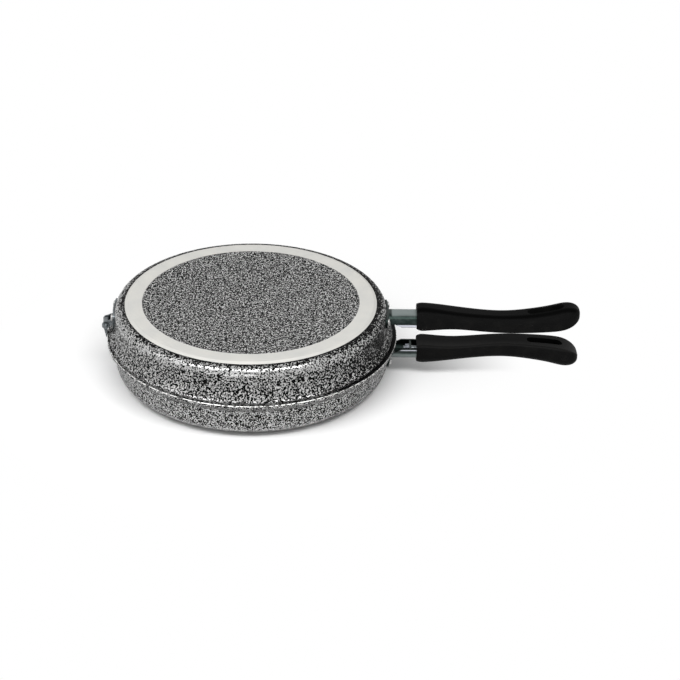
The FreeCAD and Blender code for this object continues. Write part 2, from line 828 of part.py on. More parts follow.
def make_upper_leaf():
    """The upper leaf: a wall plate with two cheeks that hold the pin."""
    half = UPPER
    body = new_body("upper_hinge_leaf")
    bind(body, **{"Placement.Base.x": half.shift})
    pin_x = -(PIN_REACH + half.shift)
    low = size("lip_height") + size("upper_leaf_above_lip")
    high = half.rivet_height + size("leaf_above_rivet")
    make_plate(body, half, HINGE_END_YAW, low, high, "leaf_thickness", "leaf_end")
    nose = size("cheek_nose")
    inset = half.wall_at(low) + size("seat_play") + size("leaf_thickness") / 2
    inner = size("knuckle_half_width") + size("cheek_gap")
    outer = inner + size("cheek_thickness")

    def cheek(sketch):
        rounding = [(pin_x - nose * reach, PIN_HEIGHT + nose * rise) for reach, rise in NOSE_SHARES]
        foot = (-inset, half.up(low))
        head = (-inset, PIN_HEIGHT + size("cheek_root_rise"))
        draw_outline(sketch, [head, *rounding, foot])

    for name, near in (("front", inner), ("rear", -outer)):
        pad(body, f"upper_leaf_{name}_cheek", "XZ_Plane", cheek, size("cheek_thickness"), near)
    spot = (pin_x, outer + size("overrun"), PIN_HEIGHT)
    hole = size("pin_radius") + size("pin_hold")
    drill(body, "upper_leaf_pin_hole", hole, (outer + size("overrun")) * 2, spot, QUARTER_TURN, -QUARTER_TURN)
    return body


def make_lower_leaf():
    """The lower leaf: a wall plate under the lip with a tongue that rises past the rim to the knuckle."""
    half = LOWER
    body = new_body("lower_hinge_leaf")
    low = size("lip_height") + size("lower_leaf_above_lip")
    high = half.rivet_height + size("leaf_above_rivet")
    make_plate(body, half, HINGE_END_YAW, low, high, "leaf_thickness", "leaf_end")
    wide = size("knuckle_half_width") * 2
    thick = size("leaf_thickness")
    rim = half.rim_radius + size("tongue_play")
    inset = half.wall_at(low) + size("seat_play")
    knuckle = size("knuckle_radius")
    pin_x = -PIN_REACH
    edge = half.lip_edge + size("lip_bend_height")

    middle = inset + thick / 2
    root = low + thick
    flank = knuckle * TONGUE_SHARE

    def tongue(sketch):
        draw_outline(sketch, (
            (-middle, half.up(low)),
            (-middle, half.up(root)),
            (-(inset + thick), half.up(root)),
            (-(rim + thick / 2), half.up(edge)),
            (pin_x - flank, PIN_HEIGHT),
            (pin_x, PIN_HEIGHT),
            (pin_x, PIN_HEIGHT - flank),
            (-rim, half.parting),
            (-rim, half.up(half.lip_edge)),
        ))

    pad(body, "lower_leaf_tongue", "XZ_Plane", tongue, wide, symmetric=True)

    def barrel(sketch):
        draw_circle(sketch, knuckle, pin_x, PIN_HEIGHT)

    pad(body, "lower_leaf_knuckle", "XZ_Plane", barrel, wide, symmetric=True)
    spot = (pin_x, size("knuckle_half_width") + size("overrun"), PIN_HEIGHT)
    hole = size("pin_radius") + size("pin_running")
    drill(body, "lower_leaf_pin_hole", hole, wide + size("overrun") * 2, spot, QUARTER_TURN, -QUARTER_TURN)
    return body


def pin_end():
    """Half the distance over the two cheeks."""
    return size("knuckle_half_width") + size("cheek_gap") + size("cheek_thickness")


def lay_along_pin(body):
    """Lay a turned piece along the pin's line, its own vertical pointing to the rear."""
    place(body, (-PIN_REACH, 0, PIN_HEIGHT), roll=-QUARTER_TURN)


def make_pin():
    """The hinge pin with its head at the rear."""
    body = new_body("hinge_pin")
    head_face = pin_end() + size("rivet_play")
    tail = -(head_face + size("rivet_play") + size("ring_length") + size("pin_tail"))
    radius = size("pin_radius")
    head = size("pin_head_radius")
    top = head_face + size("pin_head_length")
    chamfer = size("rim_chamfer")
    outline = (
        (0, tail),
        (radius - chamfer, tail),
        (radius, tail + chamfer),
        (radius, head_face),
        (head, head_face),
        (head, top - chamfer),
        (head - chamfer, top),
        (0, top),
    )
    revolve(body, "hinge_pin_turning", outline)
    lay_along_pin(body)
    return body


def make_pin_ring():
    """The ring pressed on the pin's front end."""
    body = new_body("hinge_pin_ring")
    inner = size("pin_radius") + size("pin_hold")
    face = -(pin_end() + size("rivet_play"))
    far = face - size("ring_length")
    outer = size("ring_radius")
    revolve(body, "hinge_pin_ring_turning", ((inner, far), (outer, far), (outer, face), (inner, face)))
    lay_along_pin(body)
    return body


# Whole object

def build():
    """Make every sub-part and return them."""
    fill_sheet()
    made = []
    for half in (LOWER, UPPER):
        made.append(make_pan(half))
        made.append(make_bracket(half))
        made.append(make_rivets(half, "bracket", GRIP_END_YAW, "plate_thickness"))
        made.append(make_rivets(half, "hinge", HINGE_END_YAW, "leaf_thickness"))
        made.append(make_grip(half))
        made.append(make_bolt(half))
        made.append(make_washer(half))
        made.append(make_nut(half))
    made.append(make_lower_leaf())
    made.append(make_upper_leaf())
    made.append(make_pin())
    made.append(make_pin_ring())
    doc.recompute()
    return made


def check(made):
    """Stop if any object failed or any sub-part has no valid shape."""
    failed = [item.Name for item in doc.Objects if "Invalid" in item.State or "Error" in item.State]
    if failed:
        raise RuntimeError(f"failed: {failed}")
    for item in made:
        if item.Shape.isNull() or not item.Shape.isValid():
            raise RuntimeError(f"{item.Label} has no valid shape")


def write(made):
    """Write one STEP file for each sub-part."""
    os.makedirs("parts", exist_ok=True)
    for item in made:
        item.Shape.exportStep(f"parts/{item.Label}.step")
        box = item.Shape.BoundBox
        spans = f"x {box.XMin:.1f} {box.XMax:.1f}, y {box.YMin:.1f} {box.YMax:.1f}"
        spans = f"{spans}, z {box.ZMin:.1f} {box.ZMax:.1f}"
        print(f"{item.Label}: {len(item.Shape.Solids)} solids, {item.Shape.Volume:.0f} mm3, {spans}")


sub_parts = build()
check(sub_parts)
write(sub_parts)
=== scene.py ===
"""Looks of a double sided flip pan: two speckled pans hinged at the rim, with moulded grips.

Metres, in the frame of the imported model: origin at the centre of the lower pan's base, +X towards
the grips, +Z up.
"""
from __future__ import annotations

import json
import logging
import math
from dataclasses import dataclass
from enum import Enum
from typing import Any, Sequence, Union

import bpy
from mathutils import Matrix, Vector

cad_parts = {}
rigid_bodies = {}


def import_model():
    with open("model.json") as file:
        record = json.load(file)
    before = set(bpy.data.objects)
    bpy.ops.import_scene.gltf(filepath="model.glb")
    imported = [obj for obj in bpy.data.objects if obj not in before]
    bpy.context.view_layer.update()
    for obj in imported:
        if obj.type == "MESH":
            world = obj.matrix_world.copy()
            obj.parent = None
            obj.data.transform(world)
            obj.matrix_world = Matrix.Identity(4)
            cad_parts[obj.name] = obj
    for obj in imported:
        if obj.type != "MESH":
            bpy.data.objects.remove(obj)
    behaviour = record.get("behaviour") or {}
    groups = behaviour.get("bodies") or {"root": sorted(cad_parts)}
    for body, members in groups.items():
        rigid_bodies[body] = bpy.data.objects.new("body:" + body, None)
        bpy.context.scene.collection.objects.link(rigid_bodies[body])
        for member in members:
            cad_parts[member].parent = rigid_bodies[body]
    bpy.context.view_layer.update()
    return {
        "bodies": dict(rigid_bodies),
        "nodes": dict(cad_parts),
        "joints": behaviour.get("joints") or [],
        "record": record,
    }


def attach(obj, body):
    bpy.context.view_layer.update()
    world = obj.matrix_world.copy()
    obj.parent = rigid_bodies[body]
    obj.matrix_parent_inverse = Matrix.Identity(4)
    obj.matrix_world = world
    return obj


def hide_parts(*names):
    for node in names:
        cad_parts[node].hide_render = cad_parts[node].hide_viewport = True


LOG = logging.getLogger("flip_pan")
MM = 0.001
PARTING = 40.0 * MM  # height of the plane in which the two halves meet
Pair = tuple[float, float]
Triple = tuple[float, float, float]
Colour = tuple[float, float, float]
Waves = tuple[float, ...]  # a noise's waves for each metre, its finer layers and their strength


class Region(Enum):
    """Parts of a pan's surface that have a finish of their own."""

    DISC = 0
    RING = 1
    WALL = 2
    EDGE = 3
    LAND = 4
    INSIDE = 5


class Wire:
    """One output of a shader graph, with Python's operators for Math and Vector Math nodes."""

    def __init__(self, graph: "Graph", socket: bpy.types.NodeSocket) -> None:
        """Keep the graph and the socket.

        Args:
            graph: the graph that the socket belongs to.
            socket: the output that this wire leaves from.
        """
        self.graph = graph
        self.socket = socket

    def _math(self, operation: str, *values: "Value") -> "Wire":
        """Add one Math node over the given values."""
        return self.graph.node("ShaderNodeMath", {"operation": operation}, dict(enumerate(values)))

    def __add__(self, other: "Value") -> "Wire":
        """Sum."""
        return self._math("ADD", self, other)

    def __sub__(self, other: "Value") -> "Wire":
        """Difference."""
        return self._math("SUBTRACT", self, other)

    def __rsub__(self, other: "Value") -> "Wire":
        """Difference from a number."""
        return self._math("SUBTRACT", other, self)

    def __mul__(self, other: "Value") -> "Wire":
        """Product."""
        return self._math("MULTIPLY", self, other)

    def __truediv__(self, other: "Value") -> "Wire":
        """Ratio."""
        return self._math("DIVIDE", self, other)

    __radd__ = __add__
    __rmul__ = __mul__

    def root(self) -> "Wire":
        """Square root."""
        return self._math("SQRT", self)

    def magnitude(self) -> "Wire":
        """Size without the sign."""
        return (self * self).root()

    def sine(self) -> "Wire":
        """Sine of an angle in radians."""
        return self._math("SINE", self)

    def larger(self, other: "Value") -> "Wire":
        """The larger of two values."""
        return self._math("MAXIMUM", self, other)

    def ramp(self, low: float, high: float) -> "Wire":
        """Run smoothly from 0 at low to 1 at high.

        Args:
            low: value where the result leaves 0.
            high: value where the result reaches 1.

        Returns:
            The wire of the result.
        """
        settings = {"interpolation_type": "SMOOTHSTEP"}
        return self.graph.node("ShaderNodeMapRange", settings, {0: self, 1: low, 2: high})


Value = Union[Wire, float, Sequence[float]]


class Graph:
    """A material's or a world's node tree, emptied and filled through a few plain calls.

    The Mix node's sockets share their names, so its colour sockets go by number.
    """

    MIX_INPUTS = (0, 6, 7)
    MIX_OUTPUT = 2

    def __init__(self, owner: Union[bpy.types.Material, bpy.types.World]) -> None:
        """Take over an owner's tree.

        Args:
            owner: material or world whose nodes are made here.
        """
        owner.use_nodes = True
        self.tree = owner.node_tree
        self.tree.nodes.clear()

    def node(self, kind: str, settings: dict[str, Any], inputs: dict[Any, Value], output: Any = 0) -> Wire:
        """Add one node.

        Args:
            kind: the node's type name.
            settings: its own settings, set before its inputs.
            inputs: values or wires by the input's name or number.
            output: name or number of the output that is returned.

        Returns:
            The wire of that output.
        """
        made = self.tree.nodes.new(kind)
        for name, value in settings.items():
            setattr(made, name, value)
        for key, value in inputs.items():
            if isinstance(value, Wire):
                self.tree.links.new(value.socket, made.inputs[key])
            else:
                made.inputs[key].default_value = value
        return Wire(self, made.outputs[output])

    def noise(self, where: Wire, scale: float, detail: float = 2.0, roughness: float = 0.5) -> Wire:
        """Smooth noise from 0 to 1.

        Args:
            where: the place it is read at.
            scale: waves for each metre.
            detail: how many finer layers it has.
            roughness: how strong the finer layers are.

        Returns:
            The wire of the noise.
        """
        inputs = {"Vector": where, "Scale": scale, "Detail": detail, "Roughness": roughness}
        return self.node("ShaderNodeTexNoise", {}, inputs)

    def mix(self, share: Value, first: Value, second: Value) -> Wire:
        """Mix two colours.

        Args:
            share: 0 for the first colour, 1 for the second.
            first: a wire or red, green and blue.
            second: a wire or red, green and blue.

        Returns:
            The wire of the mixed colour.
        """
        colours = [value if isinstance(value, Wire) else (*value, 1.0) for value in (first, second)]
        inputs = dict(zip(self.MIX_INPUTS, (share, *colours)))
        return self.node("ShaderNodeMix", {"data_type": "RGBA"}, inputs, self.MIX_OUTPUT)

    def place(self) -> Wire:
        """The place on the object, in metres of its own frame."""
        return self.node("ShaderNodeTexCoord", {}, {}, "Object")

    def facing(self) -> Wire:
        """The way the surface faces, in the object's own frame."""
        return self.node("ShaderNodeTexCoord", {}, {}, "Normal")

    def stretched(self, where: Wire, factors: Sequence[float]) -> Wire:
        """Scale a place along its axes."""
        return self.node("ShaderNodeVectorMath", {"operation": "MULTIPLY"}, {0: where, 1: factors})

    def split(self, where: Wire) -> tuple[Wire, Wire, Wire]:
        """The three numbers of a place."""
        across = self.node("ShaderNodeSeparateXYZ", {}, {0: where})
        outputs = across.socket.node.outputs
        return across, Wire(self, outputs[1]), Wire(self, outputs[2])

    def around(self, where: Wire, axis_x: float) -> tuple[Wire, Wire]:
        """Measure a place from an upright axis in the middle plane.

        Args:
            where: the place.
            axis_x: where the axis stands.

        Returns:
            The distance from the axis, and the part of it along X.
        """
        across, deep, _ = self.split(where)
        across = across - axis_x
        return (across * across + deep * deep).root(), across

    def bump(self, height: Wire, distance: float, strength: float = 1.0) -> Wire:
        """A normal from a height."""
        return self.node("ShaderNodeBump", {}, {"Height": height, "Distance": distance, "Strength": strength})

    def finish(self, shader: Wire, kind: str = "ShaderNodeOutputMaterial") -> None:
        """Join the shader to the tree's output."""
        target = self.tree.nodes.new(kind)
        self.tree.links.new(shader.socket, target.inputs["Surface"])

    def surface(self, inputs: dict[str, Value]) -> None:
        """Dress the surface with one Principled shader.

        Args:
            inputs: values or wires by the shader's input names.
        """
        self.finish(self.node("ShaderNodeBsdfPrincipled", {}, inputs))


def new_graph(name: str) -> tuple[bpy.types.Material, Graph]:
    """Make an empty material.

    Args:
        name: the material's name.

    Returns:
        The material and its graph.
    """
    material = bpy.data.materials.new(name)
    return material, Graph(material)


@dataclass(frozen=True)
class SpeckledCoating:
    """Grey coating full of metal flake, with black flecks sprayed over it.

    More black flecks lie beside the bare ring. Towards the bracket they lie denser as painted shade,
    and on the shoulder they lie thinner as a painted highlight.
    """

    name: str
    axis_x: float
    crowded_from: float = 0.0
    grey: Colour = (0.36, 0.36, 0.356)
    pale: Colour = (0.64, 0.64, 0.635)
    black: Colour = (0.0015, 0.0015, 0.0015)
    fleck_scale: float = 600.0
    fleck_layers: Pair = (2.0, 0.55)
    fleck_share: float = 0.472
    softness: float = 0.008
    wander: float = 0.25
    wander_ratio: float = 0.5
    crowding: float = 0.11
    crowded_width: float = 5.5 * MM
    # Painted highlight: fewer black flecks on the shoulder, where the lamp's highlight falls.
    highlight_thinning: float = 0.055
    thin_until: float = 0.0
    thin_rise: float = 1.5 * MM
    thin_fall: float = 0.3 * MM
    # Painted shade: more black flecks towards the bracket.
    bracket_shade: float = 0.0
    bracket_range: Pair = (50.0 * MM, 125.0 * MM)
    dot_ratio: float = 2.3
    dot_range: Pair = (0.60, 0.68)
    dot_share: float = 0.8
    tone_ratio: float = 1.4
    tone_range: Pair = (0.35, 0.7)
    flake: float = 0.6
    roughness: float = 0.15
    black_roughness: float = 0.3
    grain: Waves = (2600.0, 1.0)
    grain_roughness: float = 0.05
    grain_height: float = 0.3
    specular: float = 0.03
    relief: Pair = (0.04 * MM, 0.4)

    def density(self, graph: Graph, where: Wire) -> Wire:
        """Work out how thickly the flecks lie.

        Args:
            graph: the material's graph.
            where: the place on the pan.

        Returns:
            The wire of what is added to the flecks' noise.
        """
        radius, across = graph.around(where, self.axis_x)
        crowded_to = self.crowded_from + self.crowded_width
        crowd = (1 - radius.ramp(self.crowded_from, crowded_to)) * self.crowding
        # Painted shade: the flecks lie denser towards the bracket.
        bracket = across.ramp(*self.bracket_range) * self.bracket_shade
        # Painted highlight: from past the crowded band to the end of the shoulder the flecks lie thinner.
        past_ring = radius.ramp(crowded_to, crowded_to + self.thin_rise)
        past_shoulder = radius.ramp(self.thin_until - self.thin_fall, self.thin_until)
        return crowd + bracket - past_ring * (1 - past_shoulder) * self.highlight_thinning

    def material(self) -> bpy.types.Material:
        """Build the coating."""
        material, graph = new_graph(self.name)
        where = graph.place()
        wander = graph.noise(where, self.fleck_scale * self.wander_ratio, 1.0)
        flecks = graph.noise(where, self.fleck_scale, *self.fleck_layers)
        spray = flecks + (wander - 0.5) * self.wander + self.density(graph, where)
        black = spray.ramp(self.fleck_share - self.softness, self.fleck_share + self.softness)
        dots = graph.noise(where, self.fleck_scale * self.dot_ratio, 1.0).ramp(*self.dot_range)
        tone = graph.noise(where, self.fleck_scale * self.tone_ratio, 1.0).ramp(*self.tone_range)
        base = graph.mix(tone, self.grey, self.pale)
        grain = graph.noise(where, *self.grain)
        graph.surface({
            "Base Color": graph.mix(black.larger(dots * self.dot_share), base, self.black),
            "Metallic": (1 - black) * self.flake,
            "Roughness": self.roughness + black * self.black_roughness + grain * self.grain_roughness,
            "Specular IOR Level": self.specular,
            "Normal": graph.bump((1 - black) + grain * self.grain_height, *self.relief),
        })
        return material


@dataclass(frozen=True)
class TurnedAluminium:
    """Bare aluminium faced on a lathe, with fine rings about the pan's axis."""

    name: str
    axis_x: float
    colour: Colour = (0.60, 0.59, 0.555)
    shade: Colour = (0.53, 0.53, 0.51)
    pitch: float = 0.45 * MM
    cloud: Waves = (55.0, 3.0)
    grain: Waves = (1500.0, 2.0)
    grain_tone: float = 0.5
    tone_range: Pair = (0.4, 1.1)
    metallic: float = 0.25
    roughness: float = 0.52
    grain_roughness: float = 0.15
    grain_height: float = 0.4
    relief: Pair = (0.02 * MM, 0.5)

    def material(self) -> bpy.types.Material:
        """Build the turned metal."""
        material, graph = new_graph(self.name)
        where = graph.place()
        radius, _ = graph.around(where, self.axis_x)
        rings = (radius * (math.tau / self.pitch)).sine() * 0.5 + 0.5
        cloud = graph.noise(where, *self.cloud)
        grain = graph.noise(where, *self.grain)
        tone = (cloud + grain * self.grain_tone).ramp(*self.tone_range)
        graph.surface({
            "Base Color": graph.mix(tone, self.shade, self.colour),
            "Metallic": self.metallic,
            "Roughness": self.roughness + grain * self.grain_roughness,
            "Normal": graph.bump(rings + grain * self.grain_height, *self.relief),
        })
        return material


@dataclass(frozen=True)
class BareEdge:
    """Bare aluminium where a rim or a rivet was cut and rubbed clean, with some spray on it."""

    name: str
    colour: Colour = (0.80, 0.80, 0.78)
    shade: Colour = (0.55, 0.55, 0.54)
    roughness: float = 0.25
    overspray: float = 0.0
    spray: Colour = (0.004, 0.004, 0.004)
    spray_waves: Waves = (420.0, 1.0)
    spray_range: Pair = (0.54, 0.56)
    rub: Waves = (260.0, 3.0, 0.6)
    rub_range: Pair = (0.3, 0.65)
    rub_roughness: float = 0.2
    scratch: Waves = (500.0, 2.0)
    scratch_stretch: Triple = (1.0, 1.0, 9.0)
    scratch_roughness: float = 0.1
    metallic: float = 0.85
    relief: Pair = (0.03 * MM, 0.5)

    def material(self) -> bpy.types.Material:
        """Build the bare metal."""
        material, graph = new_graph(self.name)
        where = graph.place()
        rub = graph.noise(where, *self.rub)
        scratch = graph.noise(graph.stretched(where, self.scratch_stretch), *self.scratch)
        flecks = graph.noise(where, *self.spray_waves).ramp(*self.spray_range) * self.overspray
        metal = graph.mix(rub.ramp(*self.rub_range), self.shade, self.colour)
        graph.surface({
            "Base Color": graph.mix(flecks, metal, self.spray),
            "Metallic": self.metallic,
            "Roughness": self.roughness + rub * self.rub_roughness + scratch * self.scratch_roughness,
            "Normal": graph.bump(scratch, *self.relief),
        })
        return material


@dataclass(frozen=True)
class PlatedSteel:
    """Pressed steel under zinc, greenish, with painted light and shade: its outer flats are painted lighter,
    the other faces painted darker, and a painted reflection of the floor lies along the open edge.

    The outer flat and side are distances from the parting plane and from the middle plane. The painted light
    starts beyond the flange. The hem is a painted reflection of the floor: the bright band along the open
    edge of the channel.
    """

    name: str
    painted_side_light: float = 0.0
    # The lighter colour is painted light, the dark one painted shade.
    colour: Colour = (0.20, 0.23, 0.225)
    dark: Colour = (0.014, 0.021, 0.019)
    # Colour of the hem: a painted reflection of the floor.
    hem_reflection: Colour = (0.66, 0.67, 0.74)
    outer_flat: float = 20.0 * MM
    outer_side: float = 11.25 * MM
    flange_reach: float = 134.0 * MM
    flange_fade: float = 1.5 * MM
    painted_light_range: Pair = (0.9, 1.17)
    painted_light_wander: float = 0.1
    hem_reach: float = 139.0 * MM
    hem_fade: float = 2.0 * MM
    hem_height: float = 15.4 * MM
    hem_edge: float = 13.0 * MM
    hem_softness: float = 0.4 * MM
    hem_side: Pair = (0.5, 0.9)
    hem_share: float = 0.6
    hem_cloud: float = 0.5
    cloud: Waves = (60.0, 2.0)
    cloud_roughness: float = 0.08
    drawn: Waves = (1600.0, 1.0)
    drawn_stretch: Triple = (0.15, 1.0, 1.0)
    drawn_roughness: float = 0.06
    spangle: float = 0.08
    spangle_waves: Waves = (240.0, 3.0, 0.6)
    spangle_stretch: Triple = (1.0, 0.5, 1.0)
    spangle_range: Pair = (0.38, 0.68)
    spangle_roughness: float = 0.08
    roughness: float = 0.26
    relief: Pair = (0.02 * MM, 0.5)

    def material(self) -> bpy.types.Material:
        """Build the plated steel."""
        material, graph = new_graph(self.name)
        where = graph.place()
        cloud = graph.noise(where, *self.cloud)
        drawn = graph.noise(graph.stretched(where, self.drawn_stretch), *self.drawn)
        spangle = graph.noise(graph.stretched(where, self.spangle_stretch), *self.spangle_waves)
        spangle = spangle.ramp(*self.spangle_range)
        across, deep, up = graph.split(where)
        _, sideways, upright = graph.split(graph.facing())
        away = up - PARTING
        # Painted light: faces that look away from the parting plane, and where set the outer sides, get the
        # lighter colour.
        outward = upright * away / self.outer_flat + sideways * deep * (self.painted_side_light / self.outer_side)
        beyond = across.magnitude().ramp(self.flange_reach, self.flange_reach + self.flange_fade)
        painted_light = (outward + (cloud - 0.5) * self.painted_light_wander).ramp(*self.painted_light_range) * beyond
        plate = graph.mix(painted_light.larger(spangle * self.spangle), self.dark, self.colour)
        # The hem: a band along the open edge that gets a painted reflection of the floor.
        height = away.magnitude()
        over_edge = height.ramp(self.hem_edge - self.hem_softness, self.hem_edge)
        over_hem = height.ramp(self.hem_height - self.hem_softness, self.hem_height)
        on_side = (sideways * deep).ramp(*(self.outer_side * share for share in self.hem_side))
        reached = across.ramp(self.hem_reach, self.hem_reach + self.hem_fade)
        hem = over_edge * (1 - over_hem) * on_side * reached
        roughness = self.roughness + cloud * self.cloud_roughness + drawn * self.drawn_roughness
        graph.surface({
            "Base Color": graph.mix(hem * (self.hem_share + cloud * self.hem_cloud), plate, self.hem_reflection),
            "Metallic": 1.0,
            "Roughness": roughness + spangle * self.spangle_roughness,
            "Normal": graph.bump(drawn, *self.relief),
        })
        return material


@dataclass(frozen=True)
class BlackMoulding:
    """Black phenolic moulding: deepest black as painted shade on the outer faces, a painted sheen on the
    inner ones.
    """

    name: str
    colour: Colour = (0.0050, 0.0050, 0.0050)
    dust: Colour = (0.0075, 0.0074, 0.0072)
    # Painted sheen of the inner faces, then painted shade of the outer faces.
    inner_sheen: Colour = (0.0098, 0.0096, 0.0094)
    outer_shade: Colour = (0.0004, 0.0004, 0.0004)
    dust_range: Pair = (0.4, 0.7)
    inner_sheen_range: Pair = (0.4, 0.9)
    outer_shade_range: Pair = (0.45, 0.85)
    outer_shade_wander: float = 0.2
    haze: Waves = (70.0, 4.0, 0.6)
    haze_roughness: float = 0.14
    grain: Waves = (1800.0, 2.0)
    grain_roughness: float = 0.06
    roughness: float = 0.30
    specular: float = 0.02
    relief: Pair = (0.04 * MM, 0.4)

    def material(self) -> bpy.types.Material:
        """Build the moulding's finish."""
        material, graph = new_graph(self.name)
        where = graph.place()
        _, _, up = graph.split(where)
        _, _, upright = graph.split(graph.facing())
        away = up - PARTING
        outward = upright * away / away.magnitude()
        haze = graph.noise(where, *self.haze)
        grain = graph.noise(where, *self.grain)
        # Random dust; then the faces that look towards the parting plane get a painted sheen.
        dust_and_inner_sheen = graph.mix(haze.ramp(*self.dust_range), self.colour, self.dust)
        dust_and_inner_sheen = graph.mix((0.0 - outward).ramp(*self.inner_sheen_range), dust_and_inner_sheen, self.inner_sheen)
        # Painted shade: the faces that look away from the parting plane turn deepest black.
        painted_outer_shade = (outward + (haze - 0.5) * self.outer_shade_wander).ramp(*self.outer_shade_range)
        graph.surface({
            "Base Color": graph.mix(painted_outer_shade, dust_and_inner_sheen, self.outer_shade),
            "Roughness": self.roughness + haze * self.haze_roughness + grain * self.grain_roughness,
            "Specular IOR Level": self.specular,
            "Normal": graph.bump(grain, *self.relief),
        })
        return material


@dataclass(frozen=True)
class CookingSurface:
    """Dark non-stick film inside the pans, with fine pale specks."""

    name: str
    colour: Colour = (0.008, 0.008, 0.0085)
    speck: Colour = (0.16, 0.16, 0.16)
    speck_waves: Waves = (900.0, 1.0)
    speck_range: Pair = (0.70, 0.76)
    cloud: Waves = (40.0, 3.0)
    cloud_roughness: float = 0.12
    grain: Waves = (2200.0, 1.0)
    roughness: float = 0.42
    specular: float = 0.1
    relief: Pair = (0.03 * MM, 0.4)

    def material(self) -> bpy.types.Material:
        """Build the film."""
        material, graph = new_graph(self.name)
        where = graph.place()
        specks = graph.noise(where, *self.speck_waves).ramp(*self.speck_range)
        cloud = graph.noise(where, *self.cloud)
        graph.surface({
            "Base Color": graph.mix(specks, self.colour, self.speck),
            "Roughness": self.roughness + cloud * self.cloud_roughness,
            "Specular IOR Level": self.specular,
            "Normal": graph.bump(graph.noise(where, *self.grain), *self.relief),
        })
        return material


def rounded(corners: Sequence[tuple[float, float, float, Region]],
            steps: int = 8) -> list[tuple[Pair, Region]]:
    """Round the corners of an open outline.

    Args:
        corners: reach, height, rounding radius and the region of the side that follows.
        steps: short sides in each rounding.

    Returns:
        The outline's points, each with the region of the side that follows it.
    """
    made: list[tuple[Pair, Region]] = []
    last = len(corners) - 1
    for index, (reach, height, radius, region) in enumerate(corners):
        here = Vector((reach, height))
        if radius <= 0 or index in (0, last):
            made.append(((reach, height), region))
            continue
        before = (Vector(corners[index - 1][:2]) - here).normalized()
        after = (Vector(corners[index + 1][:2]) - here).normalized()
        half_angle = before.angle(after) / 2
        centre = here + (before + after).normalized() * (radius / math.sin(half_angle))
        start = here + before * (radius / math.tan(half_angle)) - centre
        end = here + after * (radius / math.tan(half_angle)) - centre
        turn = math.atan2(start.x * end.y - start.y * end.x, start.dot(end))
        for step in range(steps + 1):
            arm = Matrix.Rotation(turn * step / steps, 2) @ start
            region_here = region if step * 2 >= steps else corners[index - 1][3]
            made.append(((centre.x + arm.x, centre.y + arm.y), region_here))
    return made


def new_piece(name: str, vertices: Sequence[Sequence[float]], faces: Sequence[Sequence[int]],
              materials: Sequence[bpy.types.Material], slots: Sequence[int] = ()) -> bpy.types.Object:
    """Make a smooth mesh piece.

    Args:
        name: the piece's name.
        vertices: places in metres.
        faces: rows of vertex numbers.
        materials: its finishes.
        slots: the finish number of each face, or nothing for the first finish all over.

    Returns:
        The new object.
    """
    mesh = bpy.data.meshes.new(name)
    mesh.from_pydata(vertices, [], faces)
    for material in materials:
        mesh.materials.append(material)
    mesh.polygons.foreach_set("use_smooth", [True] * len(mesh.polygons))
    if slots:
        mesh.polygons.foreach_set("material_index", list(slots))
    mesh.update()
    piece = bpy.data.objects.new(name, mesh)
    bpy.context.scene.collection.objects.link(piece)
    return piece


